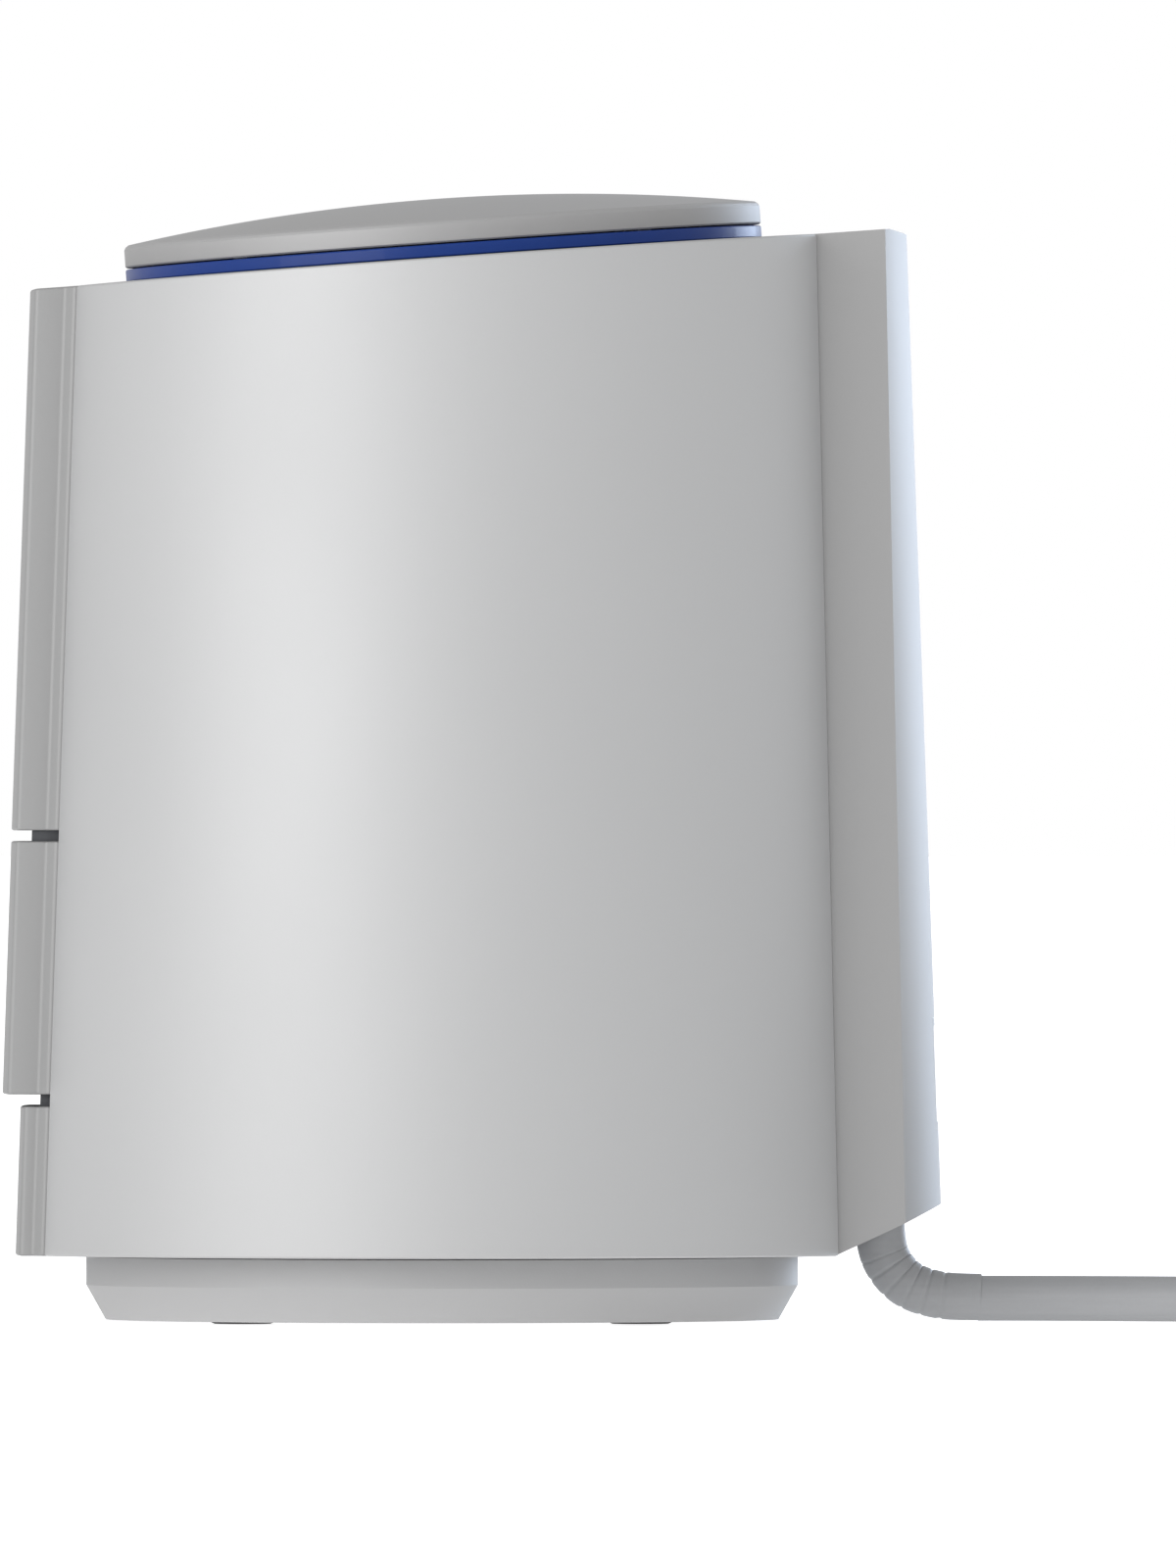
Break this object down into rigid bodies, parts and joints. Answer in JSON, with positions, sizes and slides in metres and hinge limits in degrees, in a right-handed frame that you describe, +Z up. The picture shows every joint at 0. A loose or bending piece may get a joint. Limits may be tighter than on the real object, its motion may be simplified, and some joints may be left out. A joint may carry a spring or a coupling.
{
  "type": "table-top air purifier",
  "caption": "Upright table-top air purifier: tapered barrel on a round base, pull-out filter drawer in the front fascia, tilted top with a lit ring under a domed cap, mains cord at the rear.",
  "frame": {"origin": "middle of the body's box in plan, on the surface that the feet stand on; the cord is left out of the box", "axes": "+Z up, -Y towards the front fascia, +Y towards the rear spine and the cord, X across"},
  "size_m": [0.1807, 0.3482, 0.2094],
  "materials": {
    "silver": "satin silver paint on moulded plastic",
    "silver_dark": "satin grey plastic",
    "charcoal": "fine matt",
    "blue_lens": "translucent, polished",
    "rubber": "matt",
    "white_media": "pleated filter paper",
    "white_plastic": "plain",
    "carbon": "activated carbon grains",
    "steel": "bright",
    "copper": "enamelled copper windings",
    "board": "circuit board",
    "blue_can": "sleeved",
    "cord_grey": "satin flexible PVC",
    "brass": "bright",
    "led": "clear"
  },
  "bodies": {
    "housing": {"left_side_shell": "silver", "right_side_shell": "silver", "upper_front_panel": "silver_dark", "lower_front_sill": "silver_dark", "rear_cover": "silver_dark", "top_deck": "silver_dark", "base_disc": "silver_dark", "floor_plate": "charcoal", "front_frame": "charcoal", "filter_bay": "charcoal", "fan_deck": "charcoal", "fan_shroud": "charcoal", "motor_bracket": "charcoal", "power_module": "charcoal", "cord_clamp": "charcoal", "ionizer_module": "charcoal", "switch_housing": "charcoal", "rubber_foot_1": "rubber", "rubber_foot_2": "rubber", "rubber_foot_3": "rubber", "rubber_foot_4": "rubber", "cord_tie": "rubber", "plug_body": "rubber", "base_screw_1": "steel", "base_screw_2": "steel", "base_screw_3": "steel", "bearing_lower": "steel", "bearing_upper": "steel", "ionizer_needle": "steel", "light_ring": "blue_lens", "led_board": "board", "control_board": "board", "led_1": "led", "led_2": "led", "led_3": "led", "led_4": "led", "terminal_block": "white_plastic", "stator": "copper", "capacitor": "blue_can", "strain_relief": "cord_grey", "cord_run": "cord_grey", "cord_coil": "cord_grey", "cord_tail": "cord_grey", "plug_pin_left": "brass", "plug_pin_right": "brass"},
    "rotor": {"impeller": "charcoal", "rotor_cup": "steel", "motor_shaft": "steel"},
    "drawer": {"drawer_front": "silver_dark", "drawer_tray": "charcoal", "prefilter": "white_media", "hepa_pack": "white_media", "carbon_pad": "carbon"},
    "cap": {"dome_cap": "silver_dark"},
    "switch": {"rocker": "rubber"}
  },
  "joints": [
    {"name": "fan_spin", "type": "hinge", "parent": "housing", "child": "rotor", "pos_m": [0, -0.00553, 0.12], "axis": [0, 0, 1], "continuous": true},
    {"name": "drawer_slide", "type": "slide", "parent": "housing", "child": "drawer", "axis": [0, -1, 0], "range_m": [0, 0.1]},
    {"name": "cap_lift", "type": "slide", "parent": "housing", "child": "cap", "axis": [0, -0.07, 0.9975], "range_m": [0, 0.04]},
    {"name": "rocker_tilt", "type": "hinge", "parent": "housing", "child": "switch", "pos_m": [0, 0.08187, 0.046], "axis": [1, 0, 0], "range_deg": [-14, 0]}
  ]
}
